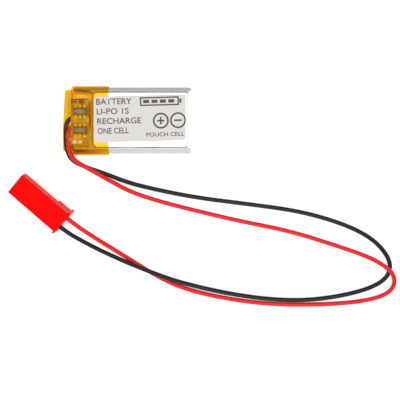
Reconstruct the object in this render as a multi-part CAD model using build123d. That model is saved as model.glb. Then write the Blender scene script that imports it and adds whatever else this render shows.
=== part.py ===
from build123d import *
import math
import os

# A small lithium polymer pouch cell with its protection board, two leads and a two-way connector.
# Millimetres. +X runs from the board end to the folded end of the pouch, +Y across it, +Z up.
# The origin is the middle of the pack's underside, on the surface that everything lies on.

# Pouch: a deep-drawn cup, a flat back, a terrace where the tabs leave, and two folded side seals.
FOIL = 0.11                # one layer of laminate
CELL_HEIGHT = 2.8          # over the foil
PACK_WIDTH = 15.0          # over the side seals and the wrap tape
CUP_LENGTH = 20.4          # along the cup's top
CUP_TOP_WIDTH = 11.75
CUP_SHIFT = 0.075          # the cup sits this far towards +Y
CUP_SLOPE = 0.5            # how far a wall spreads from the top to the foot
CUP_CORNER = 0.8
CUP_TOP_EDGE = 0.3
SEAL_BEND = 0.35           # middle radius where a side seal turns up
SEAL_TOP = 2.45            # height of a seal's free edge over the back
SEAL_GAP_UPPER = 0.3       # groove between the cup and a seal's free edge, on the +Y side
SEAL_GAP_LOWER = 0.2       # the same on the -Y side
EAR = 0.65                 # seals stand out past the folded end

# Ends and board end, measured along X from the outside of the end tape
WIRE_SPACE = 1.75          # room for the two leads beside the board
BOARD_TO_CUP = 0.9
TERRACE_INSET = 0.6        # the foil stops this far inside the board's edge

# Tapes and label
TAPE = 0.06
WRAP_WIDTH = 8.0
WRAP_INSET = 1.95          # from the outside of the end tape to the wrap tape
END_TAPE_WIDTH = 13.3
END_TAPE_LAP = 0.45        # how far it laps onto the board
END_TAPE_STEP = 0.15       # it comes down to the board over this length
END_TAPE_BENDS = [0.3, 0.3, 0.08, 0.03]
END_TAPE_GAP = 0.025       # between the upper lead and the end tape over it
LABEL = 0.08
LABEL_LENGTH = 19.85
LABEL_WIDTH = 9.9
LABEL_SHIFT = 0.3          # the label's middle, towards +Y
LABEL_INSET = 0.15         # it starts this far inside the cup's top
LABEL_CORNER = 0.7
LABEL_RAMP = 0.3           # where it comes down off the wrap tape

# Wound electrodes
ELECTRODE = 0.10
SEPARATOR = 0.02
WIND_GAP = 0.01
CORE_RADIUS = 0.35
HALF_TURNS = 5
ROLL_SIDE_GAP = 0.45       # from the roll to the cup's wall, each side
ROLL_END_GAP = 0.6
SEPARATOR_EDGE = 0.4       # separators stand past the anode at each end
ANODE_EDGE = 0.2           # and the anode past the cathode
FIX_TAPE = 0.04
FIX_TAPE_WIDTH = 4.0

# Tabs
TAB_THICK = 0.08
TAB_WIDTH = 1.6
TAB_SPACING = 6.4
TAB_SHIFT = -0.1
TAB_FILM = 0.03
TAB_FILM_EDGE = 0.4
TAB_LOOP_OUT = 0.15        # straight before the tab turns back over the terrace
TAB_WELD = 1.6             # length lying on the board's underside
TAB_IN_ROLL = 6.0
TAB_STEP = 0.4             # length over which a tab comes down inside the cup

# Protection board
BOARD_WIDTH = 4.0
BOARD_LENGTH = 10.4
BOARD_THICK = 0.4
BOARD_SHIFT = -0.5
BOARD_LIFT = 1.07          # over the terrace
BOARD_CORNER = 0.25
PAD_THICK = 0.04
PADS = [                   # middle X from the chips' line, middle Y from the board's end, size
    (-1.2, 1.0, 0.9, 0.7),
    (0.0, 1.0, 0.7, 0.7),
    (-0.7, 2.0, 1.3, 0.5),
]
IC_LENGTH = 2.9
IC_WIDTH = 1.6
IC_HEIGHT = 0.9
IC_STANDOFF = 0.08
IC_BEVEL = 0.12
IC_PITCH = 0.95
IC_LEAD_WIDTH = 0.35
IC_LEAD_THICK = 0.13
IC_LEAD_REACH = 0.6        # from the body's side to the tip of a foot
IC_UPPER_Y = 1.85
IC_LOWER_Y = -2.2
CHIP_LENGTH = 1.0
CHIP_WIDTH = 0.5
CHIP_HEIGHT = 0.35
CHIP_CAP = 0.2             # metal at each end of a chip
CHIP_CORE = 0.92           # its body's section, as a share of the caps'
RESISTOR_INSET = 0.75      # from the board's upper end
RESISTOR_STEPS = {"supply": 0.3, "sense": -1.2}   # from the chips' line
CAPACITOR_INSET = 1.2      # from the board's lower end
CAPACITOR_STEP = 1.2
CLEARANCE = 0.01           # between pieces that lie on or beside each other without touching

# Leads
LEAD = 0.95                # over the insulation
STRANDS = 0.5              # tinned bundle
STRIP_AT_BOARD = 0.9
STRIP_AT_CRIMP = 2.2
STRANDS_LEAN = (0.1, 0.12) # how far the strands turn in Y and Z on their way to the solder
SOLDER_HEIGHT = 0.7
SOLDER_FOOT = 0.35         # radii of the bead at its foot and where it meets the board
SOLDER_FACE = 0.6

# Connector housing, in its own frame: U from the mating face to the rear, V across, W up
NOSE_LENGTH = 9.2
HOUSING_LENGTH = 13.2
HOUSING_WIDTH = 5.0
HOUSING_HEIGHT = 3.6
HOUSING_EDGE = 0.35
CHEEK_DROP = 1.2           # the cheeks beside the lever reach this far below the nose
CHEEK = 0.75
EAR_WIDTH = 0.45           # lips at the rear of both sides
EAR_LENGTH = 0.5
CONTACT_PITCH = 2.5
CAVITY = 1.7
CAVITY_W = 1.8             # height of the cavities' middle
FRONT_WALL = 0.9
ENTRY = 1.3                # round entry for a mating pin
ENTRY_BEVEL = 0.15
CONNECTOR_FRONT = (-23.72, -13.74)   # middle of the top's front edge, in the pack's frame
CONNECTOR_YAW = -40.8
CONNECTOR_ROLL = 10.0      # it leans onto the -V edge of its cheeks
LAID_END = -13.85          # X of the end tape's outside for which connector and routes are laid out

# Lock lever under the housing
LEVER_WIDTH = 2.9
LEVER_U = 5.2              # hinge line
LEVER_W = 0.1
LEVER_BARREL = 0.35
LEVER_CLEARANCE = 0.03
LEVER_ARM = 0.4
LEVER_ROOT = 0.6           # from the hinge line to where the arm starts to come down
LEVER_ROOT_GAP = 0.12
LEVER_TIP = 12.9
LEVER_DROP = 0.5           # how far the arm's top lies below the nose at the tip
FINGER_PAD = 1.6           # length of the finger pad
PAD_HEIGHT = 0.62          # and its thickness
PAD_RAMP = 0.3
LATCH_START = 2.0          # a step that locks in the mating shell: ramp, face and height
LATCH_LENGTH = 1.3
LATCH_RAMP = 0.9
LATCH_HEIGHT = 0.3
RIDGES = 3
RIDGE_RADIUS = 0.12
RIDGE_INSET = 0.35
RIDGE_PITCH = 0.5

# Contacts
SOCKET_OUTER = 0.72        # radii
SOCKET_BORE = 0.5
SOCKET_LENGTH = 5.6
SOCKET_DEPTH = 5.2
STRAND_CRIMP_START = 7.3
STRAND_CRIMP_LENGTH = 1.9
GRIP_START = 9.9
GRIP_LENGTH = 1.5
CRIMP_WALL = 0.15
LEAD_IN_GRIP = 0.3         # insulation stands this far past the grip, towards the strands
CRIMP_SLIT = 0.22

# The leads' routes, from the board to the crimps. The red one passes over the black one beside
# the pack and at the far loop, and the black one over the red one on the way to the connector.
RED_ROUTE = [
    (-11.70, -1.30, 0.83),
    (-12.30, -1.72, 0.88),
    (-12.62, -2.65, 1.32),
    (-12.63, -4.40, 1.34),
    (-12.55, -6.60, 1.36),
    (-11.40, -8.75, 1.44),
    (-8.50, -10.35, 1.46),
    (-4.50, -12.40, 1.30),
    (0.40, -15.10, 0.50),
    (6.30, -17.10, 0.49),
    (14.20, -19.15, 0.48),
    (24.60, -21.65, 0.49),
    (35.30, -23.75, 0.48),
    (45.60, -27.00, 0.49),
    (52.10, -29.45, 0.75),
    (55.30, -31.15, 1.47),
    (57.60, -33.05, 1.48),
    (58.15, -35.30, 0.95),
    (57.00, -37.25, 0.55),
    (54.00, -38.60, 0.49),
    (48.60, -39.50, 0.48),
    (40.60, -40.00, 0.49),
    (30.20, -39.85, 0.48),
    (20.60, -38.50, 0.49),
    (12.60, -36.60, 0.48),
    (6.60, -33.90, 0.49),
    (1.00, -30.30, 0.75),
    (-3.62, -27.42, 1.95),
    (-7.97, -24.62, 3.25),
    (-11.96, -21.85, 3.68),
]
BLACK_ROUTE = [
    (-11.70, 0.60, 0.83),
    (-12.55, 0.25, 0.78),
    (-13.08, -0.60, 0.62),
    (-13.27, -1.90, 0.54),
    (-13.28, -4.00, 0.54),
    (-13.08, -6.60, 0.53),
    (-11.90, -8.80, 0.50),
    (-9.00, -10.10, 0.48),
    (-4.80, -11.30, 0.49),
    (0.30, -13.20, 0.48),
    (7.20, -14.95, 0.49),
    (15.90, -16.60, 0.48),
    (26.50, -17.95, 0.49),
    (37.40, -19.45, 0.48),
    (46.20, -21.95, 0.49),
    (52.40, -25.00, 0.48),
    (56.05, -28.45, 0.49),
    (57.35, -31.55, 0.48),
    (56.35, -34.25, 0.49),
    (52.90, -36.35, 0.48),
    (46.80, -37.85, 0.49),
    (38.90, -38.90, 0.48),
    (30.80, -38.80, 0.49),
    (22.60, -37.65, 0.48),
    (15.00, -36.00, 0.60),
    (8.90, -34.25, 1.52),
    (1.20, -31.25, 1.54),
    (-4.93, -28.52, 1.80),
    (-9.48, -26.13, 2.75),
    (-13.57, -23.71, 3.25),
]

# Places that several pieces share
PACK_LENGTH = WIRE_SPACE + BOARD_WIDTH + BOARD_TO_CUP + CUP_LENGTH + EAR
END = -PACK_LENGTH / 2
BOARD_LEFT = END + WIRE_SPACE
BOARD_RIGHT = BOARD_LEFT + BOARD_WIDTH
CUP_LEFT = BOARD_RIGHT + BOARD_TO_CUP
CUP_RIGHT = CUP_LEFT + CUP_LENGTH
TERRACE_LEFT = BOARD_LEFT + TERRACE_INSET
WRAP_LEFT = END + WRAP_INSET
WRAP_RIGHT = WRAP_LEFT + WRAP_WIDTH
CUP_UPPER = CUP_TOP_WIDTH / 2 + CUP_SHIFT
CUP_LOWER = CUP_SHIFT - CUP_TOP_WIDTH / 2
BACK_Z = TAPE
TERRACE_Z = BACK_Z + 2 * FOIL
CUP_Z = BACK_Z + CELL_HEIGHT
SEAM_Z = BACK_Z + FOIL
SLEEVE = TAB_THICK + 2 * TAB_FILM
TAB_Z = SEAM_Z + SLEEVE / 2
BULGE_Z = TERRACE_Z + SLEEVE
BOARD_Z = TERRACE_Z + BOARD_LIFT
BOARD_TOP = BOARD_Z + BOARD_THICK
TAB_PLACES = {"positive": TAB_SHIFT + TAB_SPACING / 2, "negative": TAB_SHIFT - TAB_SPACING / 2}
IC_X = (BOARD_LEFT + BOARD_RIGHT) / 2 + 0.05
WINDING_PITCH = 2 * ELECTRODE + 2 * SEPARATOR + 4 * WIND_GAP
ROLL_HALF_HEIGHT = CORE_RADIUS + WINDING_PITCH * (HALF_TURNS + 1) / 2
ROLL_Z = (BACK_Z + CUP_Z - TAB_THICK) / 2      # the roll leaves room for a tab on its top
END_TAPE_RISE = max(z for x, y, z in RED_ROUTE[:5]) + LEAD / 2 + END_TAPE_GAP
SHIFT = END - LAID_END     # the leads and the connector stay with the board end


def span(x0, x1, y0, y1, z0, z1):
    """A block between two corners."""
    block = Box(x1 - x0, y1 - y0, z1 - z0)
    return Pos((x0 + x1) / 2, (y0 + y1) / 2, (z0 + z1) / 2) * block


def prism_x(face, x0, x1):
    """A section drawn as (Y, Z), run along X from x0 to x1."""
    return extrude(Plane.YZ.offset(x0) * face, x1 - x0)


def prism_y(face, y0, y1):
    """A section drawn as (X, Z), run along Y from y0 to y1."""
    return extrude(Plane.XZ.offset(-y1) * face, y1 - y0)


def frustum(inset):
    """The cup as a block with sloping walls, or its inside at a given inset from the foil's face."""
    low_z, high_z = BACK_Z + inset, CUP_Z - inset
    faces = []
    for z, spread in ((low_z, CUP_SLOPE), (high_z, 0)):
        left = CUP_LEFT - spread + inset
        right = CUP_RIGHT - inset
        lower = CUP_LOWER - spread + inset
        upper = CUP_UPPER + spread - inset
        outline = Rectangle(right - left, upper - lower)
        faces.append(Pos((left + right) / 2, (lower + upper) / 2, z) * outline)
    body = loft(Sketch() + faces)
    upright = [edge for edge in body.edges() if edge.bounding_box().size.Z > CELL_HEIGHT / 2]
    body = fillet(upright, CUP_CORNER - inset)
    top = body.edges().group_by(Axis.Z)[-1]
    return fillet(top, CUP_TOP_EDGE - inset / 2)


def seal_points(side):
    """Middle line of one side seal as (Y, Z): along the terrace, then up and in over the cup's wall."""
    corner = side * (PACK_WIDTH / 2 - TAPE - FOIL)
    gap = SEAL_GAP_UPPER if side > 0 else SEAL_GAP_LOWER
    edge = CUP_UPPER if side > 0 else CUP_LOWER
    lean = CUP_SLOPE * (CELL_HEIGHT - SEAL_TOP) / CELL_HEIGHT
    tip = edge + side * (lean + gap + FOIL)
    return [(side * PACK_WIDTH / 3, SEAM_Z), (corner, SEAM_Z), (tip, BACK_Z + SEAL_TOP)]


def seal_section(side):
    path = FilletPolyline(*seal_points(side), radius=SEAL_BEND)
    return trace(path, line_width=2 * FOIL)


def envelope(grow):
    """Outline of the wrapped pack as a face in (Y, Z), this much outside the foil."""
    right, left = seal_points(1), seal_points(-1)
    outward = FOIL + grow
    corners = [(left[1][0], SEAM_Z), (right[1][0], SEAM_Z), right[2], (CUP_UPPER, CUP_Z - FOIL),
               (CUP_LOWER, CUP_Z - FOIL), left[2]]
    return offset(make_face(Polyline(*corners, close=True)), amount=outward, kind=Kind.ARC)


def make_pouch():
    plate = span(TERRACE_LEFT, CUP_RIGHT, seal_points(-1)[1][0] + SEAL_BEND,
                 seal_points(1)[1][0] - SEAL_BEND, BACK_Z, TERRACE_Z)
    pouch = plate + frustum(0)
    for side in (-1, 1):
        pouch += prism_x(seal_section(side), TERRACE_LEFT, CUP_RIGHT + EAR)
    reach = TAB_WIDTH / 2 + TAB_FILM_EDGE
    for y in TAB_PLACES.values():
        pouch += span(TERRACE_LEFT, CUP_LEFT, y - reach - FOIL, y + reach + FOIL, TERRACE_Z, BULGE_Z)
    pouch -= frustum(FOIL)
    for y in TAB_PLACES.values():
        pouch -= span(TERRACE_LEFT, CUP_LEFT, y - reach, y + reach, SEAM_Z, SEAM_Z + SLEEVE)
    return pouch


def spiral_edges(outward, half_turns, half_span):
    """A flat spiral as edges in (Y, Z): straight runs joined by half circles that grow each time."""
    edges = []
    z, side = CORE_RADIUS + outward, 1
    for turn in range(half_turns):
        radius = CORE_RADIUS + outward + turn * WINDING_PITCH / 2
        edges.append(Line((-side * half_span, z), (side * half_span, z)))
        far_z = z - side * 2 * radius
        bulge = (side * (half_span + radius), (z + far_z) / 2)
        edges.append(ThreePointArc((side * half_span, z), bulge, (side * half_span, far_z)))
        z, side = far_z, -side
    edges.append(Line((-side * half_span, z), (0, z)))
    return edges


def wound_strip(inner, thick, half_turns, x0, x1):
    """One strip of the roll between two distances from the winding's reference line."""
    half_span = CUP_TOP_WIDTH / 2 - ROLL_SIDE_GAP - ROLL_HALF_HEIGHT
    near = spiral_edges(inner, half_turns, half_span)
    far = spiral_edges(inner + thick, half_turns, half_span)
    caps = [Line(near[0] @ 0, far[0] @ 0), Line(near[-1] @ 1, far[-1] @ 1)]
    face = make_face(Curve() + near + far + caps)
    return prism_x(Pos(CUP_SHIFT, ROLL_Z) * face, x0, x1)


def make_roll():
    """Anode, separator, cathode and separator wound together, the anode inside at the core."""
    left, right = CUP_LEFT + ROLL_END_GAP, CUP_RIGHT - ROLL_END_GAP
    step = ELECTRODE + WIND_GAP
    second = step + SEPARATOR + WIND_GAP
    third = second + step
    anode = (left + SEPARATOR_EDGE, right - SEPARATOR_EDGE)
    cathode = (anode[0] + ANODE_EDGE, anode[1] - ANODE_EDGE)
    return {
        "anode_strip": wound_strip(0, ELECTRODE, HALF_TURNS, *anode),
        "separator_inner": wound_strip(step, SEPARATOR, HALF_TURNS, left, right),
        "cathode_strip": wound_strip(second, ELECTRODE, HALF_TURNS, *cathode),
        "separator_outer": wound_strip(third, SEPARATOR, HALF_TURNS - 1, left, right),
    }


def make_roll_tape(cathode):
    """Fixing tape across the end of the winding, on the roll's underside."""
    box = cathode.bounding_box()
    return span(box.min.X, box.max.X, CUP_SHIFT - FIX_TAPE_WIDTH / 2, CUP_SHIFT + FIX_TAPE_WIDTH / 2,
                box.min.Z - FIX_TAPE, box.min.Z)


def make_tab(y, z_inside):
    """A tab from the roll, down to the terrace, out of the seal and back under the board."""
    turn = TERRACE_LEFT - TAB_LOOP_OUT
    weld_z = BOARD_Z - TAB_THICK / 2
    bend = (weld_z - TAB_Z) / 2
    foot = CUP_LEFT - FOIL / 2
    inside = Polyline((CUP_LEFT + TAB_IN_ROLL, z_inside), (foot + TAB_STEP, z_inside),
                      (foot, TAB_Z), (turn, TAB_Z))
    loop = ThreePointArc((turn, TAB_Z), (turn - bend, TAB_Z + bend), (turn, weld_z))
    weld = Line((turn, weld_z), (turn + TAB_WELD, weld_z))
    face = trace(Curve() + [inside, loop, weld], line_width=TAB_THICK)
    return prism_y(face, y - TAB_WIDTH / 2, y + TAB_WIDTH / 2)


def make_tab_film(y):
    """Sealing film round a tab where it passes through the terrace."""
    reach = TAB_WIDTH / 2 + TAB_FILM_EDGE
    low, high = SEAM_Z, SEAM_Z + SLEEVE
    outside = TERRACE_LEFT - TAB_LOOP_OUT / 2
    sleeve = span(outside, CUP_LEFT - CUP_SLOPE, y - reach, y + reach, low, high)
    hole = span(outside, CUP_LEFT - CUP_SLOPE, y - TAB_WIDTH / 2, y + TAB_WIDTH / 2,
                low + TAB_FILM, high - TAB_FILM)
    return sleeve - hole


def make_foam():
    """Foam strip between the terrace and the folded tabs."""
    left = TERRACE_LEFT + 1.0
    right = BOARD_RIGHT - 0.2
    half = BOARD_LENGTH / 2 - 0.2
    top = BOARD_Z - TAB_THICK - CLEARANCE
    return span(left, right, BOARD_SHIFT - half, BOARD_SHIFT + half, BULGE_Z, top)


def make_board():
    outline = RectangleRounded(BOARD_WIDTH, BOARD_LENGTH, BOARD_CORNER)
    place = Pos((BOARD_LEFT + BOARD_RIGHT) / 2, BOARD_SHIFT, BOARD_Z)
    return place * extrude(outline, BOARD_THICK)


def make_pads():
    """Plated test pads in the board's lower end."""
    low = BOARD_SHIFT - BOARD_LENGTH / 2
    lands = []
    for x, y, wide, deep in PADS:
        middle_x = IC_X + x
        lands.append(span(middle_x - wide / 2, middle_x + wide / 2, low + y - deep / 2,
                          low + y + deep / 2, BOARD_TOP, BOARD_TOP + PAD_THICK))
    return Compound(children=lands)


def make_ic_body(y):
    low = BOARD_TOP + IC_STANDOFF
    body = span(IC_X - IC_LENGTH / 2, IC_X + IC_LENGTH / 2, y - IC_WIDTH / 2, y + IC_WIDTH / 2,
                low, low + IC_HEIGHT)
    return chamfer(body.edges().group_by(Axis.Z)[-1], IC_BEVEL)


def make_ic_leads(y):
    """Six gull-wing leads, three on each side of a body."""
    foot_z = BOARD_TOP + IC_LEAD_THICK / 2
    root_z = BOARD_TOP + IC_STANDOFF + IC_HEIGHT / 2
    leads = []
    for side in (-1, 1):
        root = y + side * IC_WIDTH / 2
        tip = root + side * IC_LEAD_REACH
        knee = root + side * IC_LEAD_REACH / 3
        path = FilletPolyline((root, root_z), (knee, root_z), (knee, foot_z), (tip, foot_z),
                              radius=IC_LEAD_THICK * 0.6)
        face = trace(path, line_width=IC_LEAD_THICK)
        for step in (-1, 0, 1):
            middle = IC_X + step * IC_PITCH
            leads.append(prism_x(face, middle - IC_LEAD_WIDTH / 2, middle + IC_LEAD_WIDTH / 2))
    return Compound(children=leads)


def make_chip(x, y, turned):
    """A chip component with a metal cap at each end, standing on the board."""
    core = Box(CHIP_LENGTH - 2 * CHIP_CAP, CHIP_WIDTH * CHIP_CORE, CHIP_HEIGHT * CHIP_CORE)
    caps = [Pos(side * (CHIP_LENGTH - CHIP_CAP) / 2, 0, 0) * Box(CHIP_CAP, CHIP_WIDTH, CHIP_HEIGHT)
            for side in (-1, 1)]
    chip = core + caps
    return Pos(x, y, BOARD_TOP + CHIP_HEIGHT / 2) * Rot(Z=90 if turned else 0) * chip


def make_wrap_tape():
    """Wrap tape round the pack, over the board and the start of the cup."""
    return prism_x(envelope(TAPE) - envelope(0), WRAP_LEFT, WRAP_RIGHT)


def make_end_tape():
    """End tape folded round the leads, from the underside up and onto the board's edge."""
    half = TAPE / 2
    rise, lap = END_TAPE_RISE + half, BOARD_TOP + half
    path = FilletPolyline((WRAP_LEFT - CLEARANCE, half), (END + half, half), (END + half, rise),
                          (BOARD_LEFT - END_TAPE_STEP, rise), (BOARD_LEFT, lap),
                          (BOARD_LEFT + END_TAPE_LAP, lap), radius=END_TAPE_BENDS)
    face = trace(path, line_width=TAPE)
    return prism_y(face, -END_TAPE_WIDTH / 2, END_TAPE_WIDTH / 2)


def make_label():
    """The label, over the end of the wrap tape and down onto the cup."""
    left = CUP_LEFT + LABEL_INSET
    right = left + LABEL_LENGTH
    over, down = CUP_Z + TAPE, CUP_Z
    low = [(left, over), (WRAP_RIGHT, over), (WRAP_RIGHT + LABEL_RAMP, down), (right, down)]
    high = [(x, z + LABEL) for x, z in reversed(low)]
    section = make_face(Polyline(*low, *high, close=True))
    strip = prism_y(section, LABEL_SHIFT - LABEL_WIDTH / 2, LABEL_SHIFT + LABEL_WIDTH / 2)
    outline = RectangleRounded(LABEL_LENGTH, LABEL_WIDTH, LABEL_CORNER)
    cutter = Pos((left + right) / 2, LABEL_SHIFT, down) * extrude(outline, TAPE + LABEL)
    return strip & cutter


def connector_place():
    """Turns and moves the connector's own frame to where it lies, resting on the surface."""
    turn = Rot(Z=CONNECTOR_YAW) * Rot(X=CONNECTOR_ROLL)
    front = (turn * Pos(0, 0, HOUSING_HEIGHT)).position
    low = (turn * housing_shell()).bounding_box().min.Z
    return Pos(CONNECTOR_FRONT[0] + SHIFT - front.X, CONNECTOR_FRONT[1] - front.Y, -low) * turn


def housing_shell():
    """The housing before its cavities: nose, rear section, cheeks and ears."""
    half = HOUSING_WIDTH / 2
    shell = span(0, HOUSING_LENGTH, -half, half, 0, HOUSING_HEIGHT)
    long_edges = [edge for edge in shell.edges() if edge.bounding_box().size.X > NOSE_LENGTH]
    shell = fillet(long_edges, HOUSING_EDGE)
    for side in (-1, 1):
        inner, outer = sorted((side * (half - CHEEK), side * half))
        cheek = span(NOSE_LENGTH, HOUSING_LENGTH, inner, outer, -CHEEK_DROP, HOUSING_HEIGHT / 2)
        front = cheek.edges().filter_by(Axis.Z).group_by(Axis.X)[0]
        shell += fillet(front, CHEEK / 3)
        near, far = sorted((side * (half - CHEEK / 2), side * (half + EAR_WIDTH)))
        ear = span(HOUSING_LENGTH - EAR_LENGTH, HOUSING_LENGTH, near, far,
                   -CHEEK_DROP, HOUSING_HEIGHT - HOUSING_EDGE)
        shell += fillet(ear.edges().filter_by(Axis.Z), EAR_WIDTH / 3)
    return shell


def make_housing():
    housing = housing_shell()
    along = Plane.YZ
    for side in (-1, 1):
        v = side * CONTACT_PITCH / 2
        cavity = RectangleRounded(CAVITY, CAVITY, CAVITY / 8)
        housing -= extrude(along.offset(FRONT_WALL) * Pos(v, CAVITY_W) * cavity,
                           HOUSING_LENGTH - FRONT_WALL)
        housing -= extrude(along * Pos(v, CAVITY_W) * Circle(ENTRY / 2), FRONT_WALL)
        bevel = Cone(ENTRY / 2 + ENTRY_BEVEL, ENTRY / 2, ENTRY_BEVEL)
        housing -= Pos(ENTRY_BEVEL / 2, v, CAVITY_W) * Rot(Y=90) * bevel
    groove = Cylinder(LEVER_BARREL + LEVER_CLEARANCE, LEVER_WIDTH + 2 * LEVER_CLEARANCE)
    return housing - Pos(LEVER_U, 0, LEVER_W) * Rot(X=90) * groove


def make_lever():
    """Rocking lever with a barrel in the nose's groove, a latch step and a ribbed finger pad."""
    root, pad = LEVER_U + LEVER_ROOT, LEVER_TIP - FINGER_PAD
    pad_low = -LEVER_DROP - PAD_HEIGHT
    arm_low = -LEVER_ROOT_GAP - LEVER_ARM
    latch = LEVER_U + LATCH_START
    latch_low = arm_low - LATCH_HEIGHT
    barrel_low = LEVER_W - LEVER_BARREL
    top = [(LEVER_U, -LEVER_CLEARANCE), (root, -LEVER_ROOT_GAP), (pad, -LEVER_DROP),
           (LEVER_TIP, -LEVER_DROP)]
    bottom = [(LEVER_TIP, pad_low), (pad, pad_low), (pad - PAD_RAMP, -LEVER_DROP - LEVER_ARM),
              (latch + LATCH_LENGTH, arm_low), (latch + LATCH_LENGTH, latch_low),
              (latch + LATCH_RAMP, latch_low), (latch, arm_low), (root, arm_low),
              (LEVER_U, barrel_low)]
    profile = make_face(Polyline(*top, *bottom, close=True))
    lever = prism_y(profile, -LEVER_WIDTH / 2, LEVER_WIDTH / 2)
    lever += Pos(LEVER_U, 0, LEVER_W) * Rot(X=90) * Cylinder(LEVER_BARREL, LEVER_WIDTH)
    for ridge in range(RIDGES):
        u = LEVER_TIP - RIDGE_INSET - ridge * RIDGE_PITCH
        lever -= Pos(u, 0, pad_low) * Rot(X=90) * Cylinder(RIDGE_RADIUS, LEVER_WIDTH)
    return lever


def rod_along(radius, start, length):
    """A round bar along U."""
    return extrude(Plane.YZ.offset(start) * Circle(radius), length)


def tube_along(outer, inner, start, length):
    return rod_along(outer, start, length) - rod_along(inner, start, length)


def make_contact(side):
    """A crimp contact: a round socket, a strap, a barrel on the strands and a grip on the insulation."""
    socket = tube_along(SOCKET_OUTER, SOCKET_BORE, FRONT_WALL, SOCKET_DEPTH)
    back = rod_along(SOCKET_OUTER, FRONT_WALL + SOCKET_DEPTH, SOCKET_LENGTH - SOCKET_DEPTH)
    contact = socket + back
    lead_low = -LEAD / 2 - CRIMP_WALL
    strap = span(FRONT_WALL + SOCKET_DEPTH, GRIP_START + GRIP_LENGTH, -SOCKET_BORE / 2,
                 SOCKET_BORE / 2, lead_low, lead_low + CRIMP_WALL)
    post = span(STRAND_CRIMP_START, STRAND_CRIMP_START + STRAND_CRIMP_LENGTH, -SOCKET_BORE / 2,
                SOCKET_BORE / 2, lead_low, -STRANDS / 2)
    slit = CRIMP_SLIT / 2
    for start, length, radius in ((STRAND_CRIMP_START, STRAND_CRIMP_LENGTH, STRANDS / 2),
                                  (GRIP_START, GRIP_LENGTH, LEAD / 2)):
        contact += tube_along(radius + CRIMP_WALL, radius, start, length)
        contact -= span(start, start + length, -slit, slit, 0, radius + CRIMP_WALL)
    contact += strap + post - rod_along(LEAD / 2, GRIP_START, GRIP_LENGTH)
    return Pos(0, side * CONTACT_PITCH / 2, CAVITY_W) * contact


def make_crimp_strands(side):
    start = GRIP_START - LEAD_IN_GRIP - STRIP_AT_CRIMP
    strands = rod_along(STRANDS / 2, start, STRIP_AT_CRIMP)
    return Pos(0, side * CONTACT_PITCH / 2, CAVITY_W) * strands


def crimp_end(side):
    """Where a lead's insulation stops inside the housing."""
    u = GRIP_START - LEAD_IN_GRIP
    return (connector_place() * Pos(u, side * CONTACT_PITCH / 2, CAVITY_W)).position


def make_board_strands(start):
    """Tinned strands from the end of the insulation up to the board's underside."""
    target = start + Vector(STRIP_AT_BOARD, *STRANDS_LEAN)
    along = Line(start, target)
    return sweep(Plane(origin=start, z_dir=target - start) * Circle(STRANDS / 2), path=along)


def make_solder(start, strands):
    """A bead of solder that holds the strands to a pad on the board's underside."""
    middle = strands.bounding_box().center()
    bead = Cone(SOLDER_FOOT, SOLDER_FACE, SOLDER_HEIGHT)
    x = start.X + STRIP_AT_BOARD - SOLDER_FOOT
    return Pos(x, middle.Y, BOARD_Z - SOLDER_HEIGHT / 2) * bead - strands


def corner_radii(points):
    """The largest tangent arcs that the runs allow, one for each inner point."""
    radii = []
    for before, at, after in zip(points, points[1:], points[2:]):
        run_in, run_out = at - before, after - at
        turn = math.radians(run_in.get_angle(run_out))
        radii.append(0.45 * min(run_in.length, run_out.length) / math.tan(turn / 2))
    return radii


def make_lead(name, points):
    radii = corner_radii(points)
    path = FilletPolyline(*points, radius=radii)
    section = Plane(origin=points[0], z_dir=points[1] - points[0]) * Circle(LEAD / 2)
    tube = sweep(section, path=path)
    expected = math.pi * LEAD ** 2 / 4 * path.length
    print(name, "length", round(path.length, 2), "volume", round(tube.volume, 2),
          "section times length", round(expected, 2))
    print(name, "radii", [round(radius, 1) for radius in radii], "in diameters, least",
          round(min(radii) / LEAD, 2))
    return tube


def build_all():
    parts = {"pouch": make_pouch()}
    parts.update(make_roll())
    parts["roll_end_tape"] = make_roll_tape(parts["cathode_strip"])
    cathode_top = parts["cathode_strip"].bounding_box().max.Z + TAB_THICK / 2
    core = ROLL_Z + CORE_RADIUS - TAB_THICK / 2
    for name, z_inside in (("positive", cathode_top), ("negative", core)):
        parts["tab_" + name] = make_tab(TAB_PLACES[name], z_inside)
        parts["tab_film_" + name] = make_tab_film(TAB_PLACES[name])
    parts["foam_strip"] = make_foam()
    parts["pcm_board"] = make_board()
    parts["board_pads"] = make_pads()
    for name, y in (("protection_ic", IC_UPPER_Y), ("mosfet_pair", IC_LOWER_Y)):
        parts[name + "_body"] = make_ic_body(y)
        parts[name + "_leads"] = make_ic_leads(y)
    upper_y = BOARD_SHIFT + BOARD_LENGTH / 2 - RESISTOR_INSET
    lower_y = BOARD_SHIFT - BOARD_LENGTH / 2 + CAPACITOR_INSET
    for name, step in RESISTOR_STEPS.items():
        parts["resistor_" + name] = make_chip(IC_X + step, upper_y, False)
    parts["capacitor"] = make_chip(IC_X + CAPACITOR_STEP, lower_y, True)
    parts["wrap_tape"] = make_wrap_tape()
    parts["end_tape"] = make_end_tape()
    parts["label"] = make_label()
    place = connector_place()
    parts["connector_housing"] = place * make_housing()
    parts["lock_lever"] = place * make_lever()
    for colour, route, side in (("red", RED_ROUTE, 1), ("black", BLACK_ROUTE, -1)):
        points = [Vector(x + SHIFT, y, z) for x, y, z in route] + [crimp_end(side)]
        parts["lead_" + colour] = make_lead("lead_" + colour, points)
        strands = make_board_strands(points[0])
        parts["strands_" + colour] = strands
        parts["solder_" + colour] = make_solder(points[0], strands)
        parts["contact_" + colour] = place * make_contact(side)
        parts["crimp_strands_" + colour] = place * make_crimp_strands(side)
    return parts


os.makedirs("parts", exist_ok=True)
for node, shape in build_all().items():
    export_step(shape, f"parts/{node}.step")
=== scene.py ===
import math

import bmesh
import bpy
import numpy as np
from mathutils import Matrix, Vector, noise


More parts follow.
